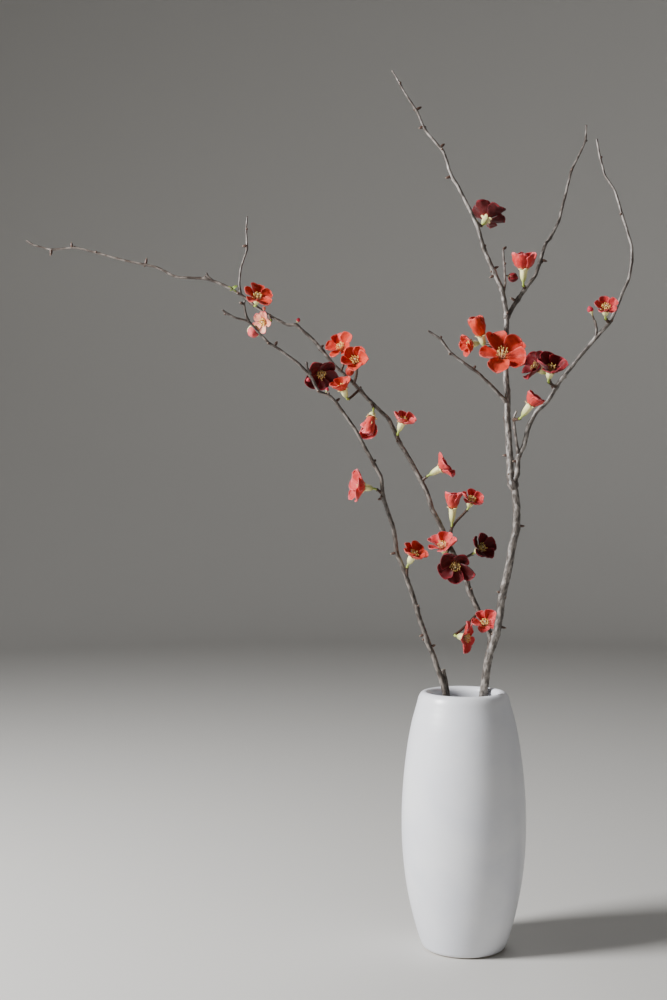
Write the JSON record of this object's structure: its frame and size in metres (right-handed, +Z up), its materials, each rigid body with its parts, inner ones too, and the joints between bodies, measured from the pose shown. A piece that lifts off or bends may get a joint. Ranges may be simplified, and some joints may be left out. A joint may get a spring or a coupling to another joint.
{
  "type": "ikebana arrangement",
  "caption": "Tall barrel-shaped porcelain vase holding bare flowering branches that reach up and to both sides, set with open blossoms and closed buds.",
  "frame": {"origin": "centre of the vase's foot, on the surface that it stands on", "axes": "+Z up along the vase's axis, +X towards the shorter right-hand shoots, -Y towards the viewer of the arrangement's front"},
  "size_m": [0.5265, 0.1562, 0.7542],
  "materials": {
    "porcelain": "satin",
    "water": "gloss",
    "bark": "matte",
    "calyx": "matte",
    "petals_vermilion": "matte",
    "petals_crimson": "matte",
    "petals_maroon": "matte",
    "petals_pink": "matte"
  },
  "bodies": {
    "root": {"branch_low": "bark", "branch_high": "bark", "branch_tall": "bark", "vase": "porcelain", "water": "water", "left_bloom_01_petals": "petals_vermilion", "left_bloom_01_calyx": "calyx", "left_bloom_02_petals": "petals_pink", "left_bloom_02_calyx": "calyx", "left_bloom_03_petals": "petals_vermilion", "left_bloom_03_calyx": "calyx", "left_bloom_04_petals": "petals_vermilion", "left_bloom_04_calyx": "calyx", "left_bloom_05_petals": "petals_maroon", "left_bloom_05_calyx": "calyx", "left_bloom_06_petals": "petals_vermilion", "left_bloom_06_calyx": "calyx", "left_bloom_07_petals": "petals_vermilion", "left_bloom_07_calyx": "calyx", "left_bloom_08_petals": "petals_vermilion", "left_bloom_08_calyx": "calyx", "left_bloom_09_petals": "petals_vermilion", "left_bloom_09_calyx": "calyx", "left_bloom_10_petals": "petals_vermilion", "left_bloom_10_calyx": "calyx", "left_bloom_11_petals": "petals_vermilion", "left_bloom_11_calyx": "calyx", "left_bloom_12_petals": "petals_vermilion", "left_bloom_12_calyx": "calyx", "left_bloom_13_petals": "petals_vermilion", "left_bloom_13_calyx": "calyx", "left_bloom_14_petals": "petals_maroon", "left_bloom_14_calyx": "calyx", "left_bloom_15_petals": "petals_maroon", "left_bloom_15_calyx": "calyx", "left_bloom_16_petals": "petals_vermilion", "left_bloom_16_calyx": "calyx", "left_bloom_17_petals": "petals_vermilion", "left_bloom_17_calyx": "calyx", "left_bloom_18_petals": "petals_vermilion", "left_bloom_18_calyx": "calyx", "right_bloom_01_petals": "petals_maroon", "right_bloom_01_calyx": "calyx", "right_bloom_02_petals": "petals_vermilion", "right_bloom_02_calyx": "calyx", "right_bloom_03_petals": "petals_vermilion", "right_bloom_03_calyx": "calyx", "right_bloom_04_petals": "petals_vermilion", "right_bloom_04_calyx": "calyx", "right_bloom_05_petals": "petals_vermilion", "right_bloom_05_calyx": "calyx", "right_bloom_06_petals": "petals_crimson", "right_bloom_06_calyx": "calyx", "right_bloom_07_petals": "petals_crimson", "right_bloom_07_calyx": "calyx", "right_bloom_08_petals": "petals_vermilion", "right_bloom_08_calyx": "calyx", "right_bloom_09_petals": "petals_vermilion", "right_bloom_09_calyx": "calyx", "bud_low_left": "petals_pink"}
  },
  "joints": []
}
